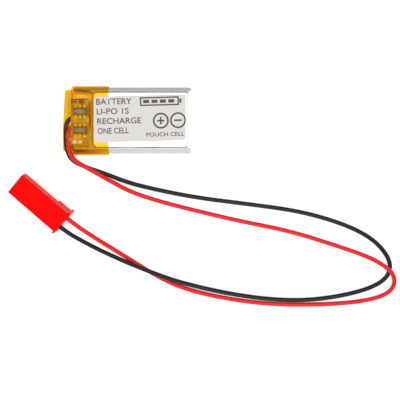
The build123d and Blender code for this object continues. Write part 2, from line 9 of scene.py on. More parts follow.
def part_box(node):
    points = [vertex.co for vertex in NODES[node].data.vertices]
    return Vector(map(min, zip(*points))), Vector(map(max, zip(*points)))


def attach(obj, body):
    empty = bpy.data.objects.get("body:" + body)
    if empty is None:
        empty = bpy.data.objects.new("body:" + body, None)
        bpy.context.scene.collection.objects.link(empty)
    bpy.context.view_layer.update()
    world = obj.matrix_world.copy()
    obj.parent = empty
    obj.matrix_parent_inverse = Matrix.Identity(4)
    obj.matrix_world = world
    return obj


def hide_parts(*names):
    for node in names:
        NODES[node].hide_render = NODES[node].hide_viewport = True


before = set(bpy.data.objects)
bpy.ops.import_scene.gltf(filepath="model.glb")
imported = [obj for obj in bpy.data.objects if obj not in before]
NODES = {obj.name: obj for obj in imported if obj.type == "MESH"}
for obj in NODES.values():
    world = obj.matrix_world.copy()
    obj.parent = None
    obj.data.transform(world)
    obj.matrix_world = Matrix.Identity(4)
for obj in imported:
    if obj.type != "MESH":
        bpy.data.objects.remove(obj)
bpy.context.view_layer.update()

# A small lithium polymer pouch cell seen from straight above, with its leads and connector.
# Lengths are in millimetres, and MM turns them into Blender's metres where an object is made.
MM = 0.001

# Camera, straight above the middle of the picture
VIEW_WIDTH = 86.96         # what the picture spans on the surface
VIEW_CENTRE = (15.84, -17.24)
VIEW_HEIGHT = 300.0
SENSOR_WIDTH = 36.0
NEAR_CLIP = 0.01           # metres

# Lights and floor: name, place and size in metres, power in watts
SKY = 0.5
SOFTBOXES = [
    ("overhead_softbox", (0.0, 0.1, 0.8), 0.65, 3.9),
    ("front_softbox", (0.05, -0.75, 0.5), 0.5, 3.2),
]
FLOOR_SIZE = 2.0
FLOOR_TONE = (0.97, 0.97, 0.97, 1.0)
FLOOR_GLOW = 0.28          # keeps the floor plain white beside the red and amber pieces
CLEAR_PASSES = 32          # how many clear surfaces a ray may pass, for tape over tape
WHITE = (1.0, 1.0, 1.0, 1.0)
SCREEN_GAMMA = 2.2

# Leads: diameter, and the points of each route, from under the board to the crimp inside
# the connector
LEAD = 0.95
LEAD_ORDER = 3             # of the curve through the points
LEAD_STEPS = 10            # along it, for each point
LEAD_SIDES = 8             # in each quarter of its section
RED_ROUTE = [
    (-11.70, -1.30, 0.83),
    (-12.30, -1.72, 0.88),
    (-12.62, -2.65, 1.32),
    (-12.63, -4.40, 1.34),
    (-12.55, -6.60, 1.36),
    (-11.40, -8.75, 1.44),
    (-8.50, -10.35, 1.46),
    (-4.50, -12.60, 1.30),
    (0.40, -15.35, 0.50),
    (6.30, -17.35, 0.49),
    (14.20, -19.40, 0.48),
    (24.60, -21.85, 0.49),
    (35.30, -23.95, 0.48),
    (45.60, -27.20, 0.49),
    (52.10, -29.45, 0.75),
    (55.30, -31.15, 1.47),
    (57.60, -33.05, 1.48),
    (58.15, -35.30, 0.95),
    (57.00, -37.25, 0.55),
    (54.00, -38.60, 0.49),
    (48.60, -39.55, 0.48),
    (40.60, -40.00, 0.49),
    (30.20, -39.85, 0.48),
    (20.60, -38.50, 0.49),
    (12.60, -36.60, 0.48),
    (6.60, -33.90, 0.49),
    (1.00, -30.30, 0.75),
    (-3.62, -27.42, 1.95),
    (-7.97, -24.62, 3.25),
    (-11.96, -21.85, 3.68),
    (-15.44, -18.84, 3.68),
]
BLACK_ROUTE = [
    (-11.70, 0.60, 0.83),
    (-12.55, 0.25, 0.78),
    (-13.08, -0.60, 0.62),
    (-13.27, -1.90, 0.54),
    (-13.28, -4.00, 0.54),
    (-13.08, -6.60, 0.53),
    (-11.90, -8.80, 0.50),
    (-9.00, -10.10, 0.48),
    (-4.80, -11.50, 0.49),
    (0.30, -13.50, 0.48),
    (7.20, -15.20, 0.49),
    (15.90, -16.85, 0.48),
    (26.50, -18.15, 0.49),
    (37.40, -19.65, 0.48),
    (46.20, -22.15, 0.49),
    (52.40, -25.00, 0.48),
    (56.05, -28.45, 0.49),
    (57.35, -31.55, 0.48),
    (56.35, -34.25, 0.49),
    (52.90, -36.35, 0.48),
    (46.80, -38.00, 0.49),
    (38.90, -39.05, 0.48),
    (30.80, -38.80, 0.49),
    (22.60, -37.65, 0.48),
    (15.00, -36.00, 0.60),
    (8.90, -34.25, 1.52),
    (1.20, -31.25, 1.54),
    (-4.93, -28.52, 1.80),
    (-9.48, -26.13, 2.75),
    (-13.57, -23.71, 3.25),
    (-17.05, -20.71, 3.25),
]

# Pouch
SHEET = 0.22               # two layers of laminate
TERRACE_TOP = 0.28
CUP_END_LEFT = -7.2
CUP_END_RIGHT = 13.2
CUP_SIDES = (-5.8, 5.95)
CUP_CORNER = 0.8
CUP_SLOPE = 0.5            # how far out the foot of the wall is from the top's outline
CUP_EDGE = 0.26            # how far in the rounded edge of the top reaches
WALL_END = 0.03            # how far out the upper end of the wall is
WALL_DROP = 0.24           # and how far below the top
SHOULDER = (-0.1, 0.05)    # a point on the rounded edge: how far out, how far below the top
WALL_RINGS = 12
EDGE_RINGS = 7
EDGE_START = 0.15          # share of the edge's turn at its first ring
TOP_RINGS = 46
DISH = (0.035, 1.2)        # how far the top sinks just inside its edge, and over what width
WALL_FADE = 0.6            # depth below the top where the wall's rumples are full
CUP_FAR_END = (11.4, 1.8)  # where the more crumpled right end starts, and over what width
TOP_DENTS = (0.02, 3.5, 1.3)      # depth, size and seed, as for all waves here and below
FAR_DENTS = (0.05, 1.1, 4.2)
WALL_RUMPLES = (1.0, 0.9, 7.7)
RUMPLE_DEPTH = (0.03, 0.1)        # everywhere, and more at the right end
FLAP_TIPS = {1: 6.20, -1: -6.04}
FLAP_TOP = 2.51
FLAP_BEND = 0.3
FLAP_STEPS = 22
BEND_STEPS = 8
BACK_STEPS = 24
SEAL_STATIONS = 260
SEAL_RISE = 0.5            # height over which the sheet comes to stand out past the cup
WELD = 0.002
FREE_FROM = (0.6, 2.0)     # height where a folded seal starts to stand free, over what height
EARS = (12.5, 1.2)         # where the seals' crumpled free ends start, and over what width
EAR_SPREAD = 0.12
SEAL_WAVES = ((0.07, 3.2, 2.1), (0.05, 4.0, 8.2))   # sideways and upwards
EAR_WAVES = ((0.34, 0.7, 5.3), (0.22, 0.6, 3.9))
LOWER_SEAL_SHADE = 0.6           # share of the painted seal shade that the lower folded seal gets beside the upper one

# Tapes
FILM = 0.03
FILM_GRID = 0.08
SAG = 2.2                  # how strongly a film is pulled down between its supports, per mm
LOOSE_GAP = 0.3            # a film this far above what is under it is fully loose
UPPER_SIDE = 0.4           # a film's points above this height get pleats, painted shade lines and glints

# Wrap tape
FLAP_COVER = 2.62          # its height over a folded seal's free edge
FLAP_SIDE = 0.18           # how far past the seal's middle it turns down
SIDE_END = 0.22            # height where its side turns in under the pack
SIDE_START = 0.02          # share of the way down a side where its points start
SIDE_STEPS = 22
WRAP_CORNER = 0.18         # how far in from its sides it lies flat
WRAP_TURNS = ((0.04, 0.09), (0.06, 0.10))   # a point in each lower corner: how far in, how high
UNDER_START = 0.5
UNDER_STEPS = 60
LAP_END = -3.0             # where its inner end is, under the pack
LAP_STEP = 2.0
FILM_SEAT = 0.005          # how far it stays clear of what it is bonded to
# Where it may rest over a chip and its legs: how far out from the body, how far below its top
CHIP_STEPS = ((0.0, 0.0), (0.22, 0.36), (0.6, 0.72))
CHIP_MARGIN = 0.03         # the same for the small parts without legs
WRAP_ROUNDS = 9000
WRAP_WAVES = ((0.05, 1.3, 6.4), (0.02, 0.45, 9.1))
WRAP_LOWEST = -0.02        # how far waves may press it down
SIDE_WAVES = (0.03, 1.6, 3.3)

# End tape
END_FOLD = 0.30            # radius of its fold
END_FOLD_STEPS = 8
END_UNDER_STEPS = 14
END_REST = 0.1             # lowest place of its upper layer
END_OVERLAP = 0.02         # how far it reaches past the board's and the wrap tape's edges
END_RISE = (0.25, -0.2, 1.5)      # rise of its fold over the leads, where it starts, its width
END_LEAN = (0.45, 1.5)     # how far in its folded edge leans at the top, and how unevenly
END_LEAN_FROM = (-1.0, 7.6)       # where the lean starts, and over what width it grows
END_EDGE = (0.10, 0.8, 4.4)       # waves of its two short edges
END_EDGE_FROM = (5.4, 1.25)       # where they start, and over what width they grow
END_ROUNDS = 6000
END_WAVES = ((0.06, 1.4, 2.7), (0.02, 0.5, 1.9))
END_LOWEST = -0.03
LEAD_PAST = 1.5            # how far past the tape's edge the leads still hold it up
LEAD_HAZE = 0.12           # width over which the film beside a lead turns hazy

# Folds in the two tapes: two ends, height (a valley's is negative), half width
WRAP_FOLDS = [
    ((-8.6, 2.4), (-8.1, -3.2), 0.10, 0.10),
    ((-8.1, -2.9), (-7.1, -5.7), 0.12, 0.12),
    ((-7.7, 5.6), (-7.9, 3.2), 0.08, 0.12),
    ((-11.7, 5.2), (-8.4, 5.0), 0.08, 0.12),
    ((-11.3, 6.1), (-8.0, 5.7), 0.07, 0.10),
    ((-11.4, -6.0), (-7.6, -6.1), 0.09, 0.10),
    ((-9.2, -5.2), (-9.0, -6.1), 0.08, 0.12),
]
END_FOLDS = [
    ((-12.35, 4.4), (-12.3, 1.6), 0.12, 0.10),
    ((-13.1, 5.6), (-12.9, 2.0), 0.10, 0.14),
    ((-12.95, 1.95), (-12.35, 1.9), -0.14, 0.09),
    ((-13.4, 0.2), (-12.4, 1.5), 0.10, 0.12),
    ((-13.2, 6.5), (-12.0, 4.9), 0.12, 0.12),
    ((-12.1, -3.7), (-12.6, -5.6), 0.06, 0.10),
]

# Lines where a film is pleated or has painted shade (in the gap between board and cup, and
# along the board's edges), and ridges that catch the light: two ends, strength, half width
PLEAT_AND_SHADE_LINES = [
    ((-8.02, 4.30), (-7.84, -2.50), 0.90, 0.21),
    ((-10.30, 4.05), (-9.40, 3.40), 0.55, 0.36),
    ((-11.60, 6.40), (-7.60, 6.15), 0.80, 0.24),
    ((-11.90, 4.55), (-8.20, 4.50), 0.75, 0.11),
    ((-11.20, -6.72), (-8.30, -6.66), 0.85, 0.13),
    ((-11.40, -7.05), (-6.00, -7.00), 0.35, 0.30),
    ((-7.75, 6.10), (-7.30, 5.50), 0.80, 0.12),
    ((-12.85, 1.62), (-12.10, 1.55), 0.90, 0.10),
    ((-12.00, 5.90), (-11.95, 1.70), 0.50, 0.10),
    ((-12.90, 5.90), (-12.60, 1.80), 0.25, 0.16),
    ((-11.90, -5.40), (-11.30, -6.60), 0.70, 0.25),
]
GLINTS = [
    ((-8.36, 2.60), (-8.36, -2.60), 0.20, 0.05),
    ((-8.36, -2.30), (-7.50, -5.20), 0.20, 0.06),
    ((-11.60, 1.85), (-8.50, 1.85), 0.045, 0.60),
    ((-11.60, -2.20), (-8.50, -2.20), 0.045, 0.60),
    ((-12.00, 3.60), (-11.95, 1.90), 0.18, 0.06),
    ((-11.95, -3.40), (-12.40, -4.60), 0.14, 0.08),
    ((-11.30, 5.40), (-8.30, 5.20), 0.08, 0.10),
]

# Films' looks. A relief is a list of sizes and heights.
CLEAR_TINT = (0.985, 0.815, 0.12, 1.0)
# Darker tint on the pleat lines: folded tape, and painted shade in gaps and along edges
PLEAT_SHADE_TINT = (0.68, 0.33, 0.02, 1.0)
BONDED_HAZE = 0.01
SHEEN_LIMIT = 0.015        # the most that a film reflects away from its glints
FILM_INDEX = 1.5
FILM_RELIEF = [(1.1, 0.02), (0.25, 0.002)]
STREAK_SIZE = 0.5
MIRROR_ROUGHNESS = (0.15, 0.3)
CLOUD_ROUGHNESS = 0.35
CLOUD_SPECULAR = 0.1

# Foil's looks
FOIL_RELIEF = [(2.6, 0.03), (0.14, 0.0035)]
FOIL_STREAKS = 1.4
FOIL_ROUGHNESS = (0.32, 0.42)
FOIL_METAL = 0.6
# Tone spread of the painted seal shade along the foil's streaks
SEAL_SHADE_STREAKS = (0.88, 1.12)

# Label
LABEL_THICK = 0.08
LABEL_SHEET = LABEL_THICK * 0.6   # thickness of the sheet that is seen
LABEL_DROP = LABEL_THICK * 0.2    # how far its face is below the CAD label's
LABEL_CORNER = 0.7
LABEL_CORNER_STEPS = 10
LABEL_ROWS = 90
LABEL_COLUMNS = 50
LABEL_STEP = (-0.1, 0.7)   # where it comes down over the wrap tape's edge
LABEL_WAVES = (0.03, 2.0, 5.5)
LABEL_RIM = 0.5            # how far in its edge waves

# Its print
PRINT_TILT = math.radians(1.5)
INK = 0.006
INK_LIFT = 0.012           # how far the ink stands above the label
LETTER_WEIGHT = 0.012
LETTER_STEPS = 3
PRINT_LINES = [            # words, left, bottom, height, width
    ("BATTERY", -6.40, 3.40, 1.30, 7.6),
    ("LI-PO 1S", -6.35, 1.30, 1.30, 6.9),
    ("RECHARGE", -6.30, -0.80, 1.30, 9.5),
    ("ONE CELL", -6.25, -2.90, 1.30, 6.7),
    ("POUCH CELL", 4.20, -3.75, 0.90, 8.2),
]
BATTERY_SIGN = ((3.0, 2.9, 11.4, 4.8), (3.3, 3.2, 11.1, 4.5))  # outer and inner edge
BATTERY_TIP = (11.5, 3.4, 11.95, 4.3)
BATTERY_BARS = [(left, 3.5, left + 1.3, 4.2) for left in (3.7, 5.5, 7.3, 9.1)]
PLUS_SIGN = (7.4, -0.35)
MINUS_SIGN = (11.1, -0.35)
SIGN_RING = (1.72, 1.36)   # outer and inner radius
SIGN_REACH = 0.8
SIGN_HALF = 0.18


def rgb(red, green, blue):
    """A linear colour from three screen values of 0 to 255."""
    return tuple((value / 255) ** SCREEN_GAMMA for value in (red, green, blue)) + (1.0,)


def box_mm(node):
    """The lowest and highest corner of a CAD node, in millimetres."""
    low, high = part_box(node)
    return low / MM, high / MM


# ---------------------------------------------------------------- camera, lights and floor

def make_camera():
    data = bpy.data.cameras.new("camera")
    data.sensor_width = SENSOR_WIDTH
    data.lens = SENSOR_WIDTH * VIEW_HEIGHT / VIEW_WIDTH
    data.clip_start = NEAR_CLIP
    camera = bpy.data.objects.new("camera", data)
    camera.location = (VIEW_CENTRE[0] * MM, VIEW_CENTRE[1] * MM, VIEW_HEIGHT * MM)
    bpy.context.scene.collection.objects.link(camera)
    bpy.context.scene.camera = camera


def make_softbox(name, place, size, power):
    """A square light turned to the middle of the picture."""
    data = bpy.data.lights.new(name, "AREA")
    data.size = size
    data.energy = power
    light = bpy.data.objects.new(name, data)
    light.location = place
    middle = Vector((VIEW_CENTRE[0] * MM, VIEW_CENTRE[1] * MM, 0.0))
    light.rotation_euler = (middle - Vector(place)).to_track_quat("-Z", "Y").to_euler()
    bpy.context.scene.collection.objects.link(light)


def make_surroundings():
    world = bpy.data.worlds.new("studio")
    world.use_nodes = True
    background = world.node_tree.nodes["Background"]
    background.inputs["Color"].default_value = WHITE
    background.inputs["Strength"].default_value = SKY
    scene = bpy.context.scene
    scene.world = world
    scene.view_settings.view_transform = "Standard"
    scene.cycles.transparent_max_bounces = CLEAR_PASSES
    for softbox in SOFTBOXES:
        make_softbox(*softbox)
    bpy.ops.mesh.primitive_plane_add(size=FLOOR_SIZE)
    floor = bpy.context.object
    floor.name = "floor"
    surface = plain("floor_white", FLOOR_TONE, 0.8, grain=(0.4, 0.001), tone=0.004,
                    specular=0.1)
    shader = surface.node_tree.nodes["Principled BSDF"]
    shader.inputs["Emission Color"].default_value = WHITE
    shader.inputs["Emission Strength"].default_value = FLOOR_GLOW
    floor.data.materials.append(surface)


# ---------------------------------------------------------------- materials

class Nodes:
    """Short calls for a material's node tree."""

    def __init__(self, name):
        self.material = bpy.data.materials.new(name)
        self.material.use_nodes = True
        self.tree = self.material.node_tree
        self.shader = self.tree.nodes["Principled BSDF"]
        self.output = self.tree.nodes["Material Output"]
        self.place = self.add("ShaderNodeTexCoord").outputs["Object"]

    def link(self, source, target):
        self.tree.links.new(source, target)

    def feed(self, value, socket):
        """Links another node's output to a socket, or sets a plain value on it."""
        if isinstance(value, bpy.types.NodeSocket):
            self.link(value, socket)
        else:
            socket.default_value = value

    def add(self, kind, **inputs):
        node = self.tree.nodes.new(kind)
        for key, value in inputs.items():
            self.feed(value, node.inputs[key])
        return node

    def attribute(self, name):
        """A value that the mesh stores at each point."""
        node = self.add("ShaderNodeAttribute")
        node.attribute_name = name
        return node.outputs["Fac"]

    def noise(self, size):
        """Noise between 0 and 1 with features of this size in millimetres."""
        node = self.add("ShaderNodeTexNoise", Vector=self.place, Scale=1 / (size * MM), Detail=3.0)
        return node.outputs["Fac"]

    def blend(self, factor, first, second):
        """A colour between two; a Mix node's colour sockets have these places."""
        node = self.tree.nodes.new("ShaderNodeMix")
        node.data_type = "RGBA"
        for place, value in ((0, factor), (6, first), (7, second)):
            self.feed(value, node.inputs[place])
        return node.outputs[2]

    def spread(self, source, low, high, start=0.3, end=0.7):
        """A value from low to high as the source goes from start to end."""
        node = self.tree.nodes.new("ShaderNodeMapRange")
        self.link(source, node.inputs["Value"])
        ranges = {"From Min": start, "From Max": end, "To Min": low, "To Max": high}
        for key, value in ranges.items():
            node.inputs[key].default_value = value
        return node.outputs["Result"]

    def choose(self, operation, first, second):
        """The smaller or the larger of two values."""
        node = self.tree.nodes.new("ShaderNodeMath")
        node.operation = operation
        self.feed(first, node.inputs[0])
        self.feed(second, node.inputs[1])
        return node.outputs["Value"]

    def layer(self, share, under, over):
        """A mix of two shaders."""
        node = self.add("ShaderNodeMixShader", Fac=share)
        self.link(under, node.inputs[1])
        self.link(over, node.inputs[2])
        return node.outputs["Shader"]

    def relief(self, layers):
        """Bump layers, each (size, height) in millimetres, one on the next."""
        normal = None
        for size, height in layers:
            bump = self.add("ShaderNodeBump", Height=self.noise(size), Distance=height * MM)
            if normal:
                self.link(normal, bump.inputs["Normal"])
            normal = bump.outputs["Normal"]
        return normal


def tinted(colour, share):
    return tuple(min(1.0, channel * share) for channel in colour[:3]) + (1.0,)


def plain(name, colour, roughness, metallic=0.0, grain=(0.3, 0.003), waves=None, patch=1.5,
          tone=0.08, specular=0.5):
    """A surface whose tone and roughness vary in patches, with a fine grain and long waves."""
    nodes = Nodes(name)
    shader = nodes.shader
    patches = nodes.noise(patch)
    base = nodes.blend(nodes.spread(patches, 0.0, 1.0), tinted(colour, 1 - tone),
                       tinted(colour, 1 + tone))
    nodes.link(base, shader.inputs["Base Color"])
    rough = nodes.spread(patches, roughness * 0.9, roughness * 1.12)
    nodes.link(rough, shader.inputs["Roughness"])
    relief = nodes.relief([layer for layer in (waves, grain) if layer])
    nodes.link(relief, shader.inputs["Normal"])
    shader.inputs["Metallic"].default_value = metallic
    shader.inputs["Specular IOR Level"].default_value = specular
    return nodes.material


def foil_with_seal_shade(name, bright, seal_shade_colour):
    """Laminate foil: bright on the drawn cup, with painted shade on the folded seals, in streaks.
    """
    nodes = Nodes(name)
    shader = nodes.shader
    streaks = nodes.noise(FOIL_STREAKS)
    streaked_seal_shade = nodes.blend(nodes.spread(streaks, 0.0, 1.0),
                       *(tinted(seal_shade_colour, share) for share in SEAL_SHADE_STREAKS))
    # The seal attribute says where the painted seal shade goes
    base = nodes.blend(nodes.attribute("seal"), bright, streaked_seal_shade)
    nodes.link(base, shader.inputs["Base Color"])
    nodes.link(nodes.spread(streaks, *FOIL_ROUGHNESS), shader.inputs["Roughness"])
    nodes.link(nodes.relief(FOIL_RELIEF), shader.inputs["Normal"])
    shader.inputs["Metallic"].default_value = FOIL_METAL
    return nodes.material


def film(name, haze, amber):
    """Tinted clear tape, hazier where it isn't bonded, brown on pleats and painted shade lines,
    with glints.
    """
    nodes = Nodes(name)
    pleat_shade = nodes.attribute("pleat_shade")
    normal = nodes.relief(FILM_RELIEF)

    cloud = nodes.shader
    # Brown on the pleat lines: the deeper colour of folded tape, and painted shade in gaps and at
    # edges
    nodes.link(nodes.blend(pleat_shade, amber, rgb(130, 66, 0)), cloud.inputs["Base Color"])
    nodes.link(normal, cloud.inputs["Normal"])
    cloud.inputs["Specular IOR Level"].default_value = CLOUD_SPECULAR
    cloud.inputs["Roughness"].default_value = CLOUD_ROUGHNESS
    clear = nodes.add("ShaderNodeBsdfTransparent",
                      Color=nodes.blend(pleat_shade, CLEAR_TINT, PLEAT_SHADE_TINT))
    cloudiness = nodes.spread(nodes.attribute("loose"), BONDED_HAZE, haze, 0.0, 1.0)
    body = nodes.layer(cloudiness, clear.outputs["BSDF"], cloud.outputs["BSDF"])

    mirror = nodes.add("ShaderNodeBsdfGlossy", Normal=normal,
                       Roughness=nodes.spread(nodes.noise(STREAK_SIZE), *MIRROR_ROUGHNESS))
    edge = nodes.add("ShaderNodeFresnel", IOR=FILM_INDEX, Normal=normal)
    sheen = nodes.choose("MINIMUM", edge.outputs["Fac"], SHEEN_LIMIT)
    shine = nodes.choose("MAXIMUM", sheen, nodes.attribute("glint"))
    top = nodes.layer(shine, body, mirror.outputs["BSDF"])
    nodes.link(top, nodes.output.inputs["Surface"])
    return nodes.material


def make_materials():
    """Materials by name; a plain one's numbers are its roughness and how metallic it is."""
    return {
        # Foil: its own colour, and a grey that paints shade on the folded seals
        "foil": foil_with_seal_shade("foil_laminate", rgb(232, 232, 230), rgb(150, 149, 146)),
        "amber_tape": film("amber_tape", 0.26, rgb(250, 188, 0)),
        "amber_fold": film("amber_fold", 0.55, rgb(248, 216, 28)),
        "label": plain("label_film", rgb(202, 200, 197), 0.5, grain=(0.2, 0.002),
                       waves=(4.0, 0.02), tone=0.015),
        "ink": plain("label_ink", rgb(70, 66, 62), 0.6, grain=(0.1, 0.001), patch=0.5, tone=0.2),
        "board": plain("board_mask", rgb(166, 173, 212), 0.4, grain=(0.3, 0.004), tone=0.2),
        "gold": plain("gold_plate", rgb(196, 160, 96), 0.5, 0.7, tone=0.12),
        "ic_black": plain("chip_package", rgb(66, 66, 102), 0.5, grain=(0.06, 0.001), tone=0.1),
        "tin": plain("tin_plate", rgb(226, 223, 214), 0.42, 0.8, patch=0.4),
        "solder": plain("solder", rgb(188, 188, 186), 0.3, 1.0, grain=(0.3, 0.01), patch=0.4),
        "chip_black": plain("resistor_body", rgb(112, 62, 46), 0.5, tone=0.2),
        "chip_tan": plain("capacitor_body", rgb(176, 134, 90), 0.5, tone=0.12),
        "tab_aluminium": plain("aluminium_tab", rgb(206, 207, 209), 0.4, 1.0),
        "tab_nickel": plain("nickel_tab", rgb(186, 180, 170), 0.35, 1.0),
        "tab_film": plain("tab_sealing_film", rgb(228, 228, 218), 0.45),
        "foam": plain("foam", rgb(60, 60, 62), 0.9, grain=(0.25, 0.05), patch=0.4, tone=0.25),
        "anode_coat": plain("anode_coating", rgb(52, 50, 50), 0.8, tone=0.15),
        "cathode_coat": plain("cathode_coating", rgb(32, 30, 32), 0.85, tone=0.15),
        "separator": plain("separator", rgb(238, 238, 236), 0.5, tone=0.02),
        "fixing_tape": plain("fixing_tape", rgb(206, 214, 222), 0.35, tone=0.04),
        "lead_red": plain("red_insulation", rgb(214, 0, 26), 0.34, grain=(0.18, 0.003),
                          waves=(1.2, 0.008), tone=0.05, specular=0.28),
        "lead_black": plain("black_insulation", rgb(6, 5, 5), 0.28, grain=(0.18, 0.003),
                            waves=(1.2, 0.008), tone=0.12, specular=0.25),
        "connector_red": plain("connector_nylon", rgb(232, 0, 0), 0.4, grain=(0.12, 0.003),
                               waves=(2.0, 0.012), tone=0.03, specular=0.05),
        "contact_tin": plain("contact_tin", rgb(202, 200, 194), 0.32, 1.0, patch=0.5),
    }


# CAD nodes that are seen as they are, by the material they get
NODE_FINISHES = {
    "anode_coat": ("anode_strip",),
    "cathode_coat": ("cathode_strip",),
    "separator": ("separator_inner", "separator_outer"),
    "fixing_tape": ("roll_end_tape",),
    "tab_aluminium": ("tab_positive",),
    "tab_nickel": ("tab_negative",),
    "tab_film": ("tab_film_positive", "tab_film_negative"),
    "foam": ("foam_strip",),
    "board": ("pcm_board",),
    "gold": ("board_pads",),
    "ic_black": ("protection_ic_body", "mosfet_pair_body"),
    "tin": ("protection_ic_leads", "mosfet_pair_leads", "strands_red", "strands_black",
            "crimp_strands_red", "crimp_strands_black"),
    "solder": ("solder_red", "solder_black"),
    "chip_black": ("resistor_supply", "resistor_sense"),
    "chip_tan": ("capacitor",),
    "connector_red": ("connector_housing", "lock_lever"),
    "contact_tin": ("contact_red", "contact_black"),
}


def finish_nodes(materials):
    """Gives each CAD node that stays visible its material."""
    for finish, names in NODE_FINISHES.items():
        for name in names:
            slots = NODES[name].data.materials
            slots.clear()
            slots.append(materials[finish])


# ---------------------------------------------------------------- mesh helpers

def add_piece(name, points, faces, material, smooth=True):
    """A mesh object from points in millimetres."""
    mesh = bpy.data.meshes.new(name)
    corners = [tuple(value * MM for value in point) for point in points]
    mesh.from_pydata(corners, [], [tuple(map(int, face)) for face in faces])
    mesh.validate()
    mesh.polygons.foreach_set("use_smooth", [smooth] * len(mesh.polygons))
    mesh.materials.append(material)
    piece = bpy.data.objects.new(name, mesh)
    bpy.context.scene.collection.objects.link(piece)
    return piece


def grid_normals(grid):
    """The direction square to a grid of points, at each of them."""
    along = np.gradient(grid, axis=0)
    across = np.gradient(grid, axis=1)
    normals = np.cross(along, across)
    return normals / np.maximum(np.linalg.norm(normals, axis=2, keepdims=True), 1e-9)


def shell(grid, thickness):
    """Points and faces of a closed thin sheet whose middle is a grid of points."""
    rows, columns = grid.shape[:2]
    offset = grid_normals(grid) * thickness / 2
    points = np.concatenate([(grid + offset).reshape(-1, 3), (grid - offset).reshape(-1, 3)])
    count = rows * columns
    index = np.arange(count).reshape(rows, columns)
    quads = np.stack([index[:-1, :-1], index[1:, :-1], index[1:, 1:], index[:-1, 1:]], -1)
    upper = quads.reshape(-1, 4)
    lower = upper[:, ::-1] + count
    rim = np.concatenate([index[0, :-1], index[:-1, -1], index[-1, :0:-1], index[:0:-1, 0]])
    ahead = np.roll(rim, -1)
    side = np.stack([rim, ahead, ahead + count, rim + count], -1)
    return points, np.concatenate([upper, lower, side])


def join_shapes(*shapes):
    """One list of points and one of faces from several shapes."""
    points, faces, start = [], [], 0
    for shape_points, shape_faces in shapes:
        points.extend(tuple(point) for point in shape_points)
        faces.extend(tuple(corner + start for corner in face) for face in shape_faces)
        start += len(shape_points)
    return points, faces


def ripple(points, size, seed):
    """Smooth noise from -1 to 1 at each point, with features of this size."""
    flat = np.asarray(points, float).reshape(-1, 3) / size + seed
    values = [noise.noise(Vector(point)) for point in flat]
    return np.array(values).reshape(np.shape(points)[:-1])


def waves(points, depth, size, seed):
    """Smooth waves of this depth at each point."""
    return depth * ripple(points, size, seed)


def ramp(values, start, width):
    """From 0 at the start to 1 at the start and this width."""
    return np.clip((values - start) / width, 0, 1)


# ---------------------------------------------------------------- leads

def centreline(curve):
    """Points along a curve that has no thickness yet, in millimetres."""
    holder = bpy.data.objects.new("line", curve)
    bpy.context.scene.collection.objects.link(holder)
    bpy.context.view_layer.update()
    mesh = bpy.data.meshes.new_from_object(holder)
    line = np.array([vertex.co for vertex in mesh.vertices]) / MM
    bpy.data.objects.remove(holder)
    bpy.data.meshes.remove(mesh)
    return line


def make_lead(colour, route, material):
    """A lead as a round curve along its route. Its centreline is returned, in millimetres."""
    curve = bpy.data.curves.new("lead_" + colour + "_insulation", "CURVE")
    curve.dimensions = "3D"
    spline = curve.splines.new("NURBS")
    spline.points.add(len(route) - 1)
    for point, (x, y, z) in zip(spline.points, route):
        point.co = (x * MM, y * MM, z * MM, 1.0)
    spline.order_u = LEAD_ORDER
    spline.use_endpoint_u = True
    spline.resolution_u = LEAD_STEPS
    line = centreline(curve)
    curve.bevel_depth = LEAD / 2 * MM
    curve.bevel_resolution = LEAD_SIDES
    curve.use_fill_caps = True
    curve.materials.append(material)
    lead = bpy.data.objects.new("lead_" + colour + "_insulation", curve)
    bpy.context.scene.collection.objects.link(lead)
    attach(lead, "pack")
    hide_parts("lead_" + colour)
    return line


# ---------------------------------------------------------------- pouch

def cup_offset(x, y):
    """Distance outside the outline of the cup's top, negative inside it."""
    middle_x = (CUP_END_LEFT + CUP_END_RIGHT) / 2
    middle_y = sum(CUP_SIDES) / 2
    over_x = np.abs(x - middle_x) - (CUP_END_RIGHT - CUP_END_LEFT) / 2 + CUP_CORNER
    over_y = np.abs(y - middle_y) - (CUP_SIDES[1] - CUP_SIDES[0]) / 2 + CUP_CORNER
    outside = np.hypot(np.maximum(over_x, 0), np.maximum(over_y, 0))
    return outside + np.minimum(np.maximum(over_x, over_y), 0) - CUP_CORNER


def cup_height(x, y):
    """Height of the cup's top, edge, wall or foot over a place."""
    top = box_mm("pouch")[1].z
    return np.interp(cup_offset(x, y), [-CUP_EDGE, SHOULDER[0], WALL_END, CUP_SLOPE],
                     [top, top - SHOULDER[1], top - WALL_DROP, TERRACE_TOP])


def cup_ring(offset, arc_steps=10, long_steps=150, short_steps=90):
    """Points (x, y) round the cup's outline at this offset, the same count for each offset."""
    radius = CUP_CORNER + offset
    left, right = CUP_END_LEFT + CUP_CORNER, CUP_END_RIGHT - CUP_CORNER
    low, high = CUP_SIDES[0] + CUP_CORNER, CUP_SIDES[1] - CUP_CORNER
    corners = [(right, high), (left, high), (left, low), (right, low)]
    ring = []
    for quarter, (x, y) in enumerate(corners):
        for step in range(arc_steps):
            angle = math.pi / 2 * (quarter + step / arc_steps)
            ring.append((x + radius * math.cos(angle), y + radius * math.sin(angle)))
        angle = math.pi / 2 * (quarter + 1)
        start = (x + radius * math.cos(angle), y + radius * math.sin(angle))
        next_x, next_y = corners[(quarter + 1) % 4]
        end = (next_x + radius * math.cos(angle), next_y + radius * math.sin(angle))
        steps = long_steps if quarter % 2 == 0 else short_steps
        for step in range(steps):
            share = step / steps
            ring.append((start[0] + (end[0] - start[0]) * share,
                         start[1] + (end[1] - start[1]) * share))
    return np.array(ring)


def level_ring(offset, height):
    """The cup's outline at this offset, as points at one height."""
    ring = cup_ring(offset)
    return np.column_stack([ring, np.full(len(ring), height)])


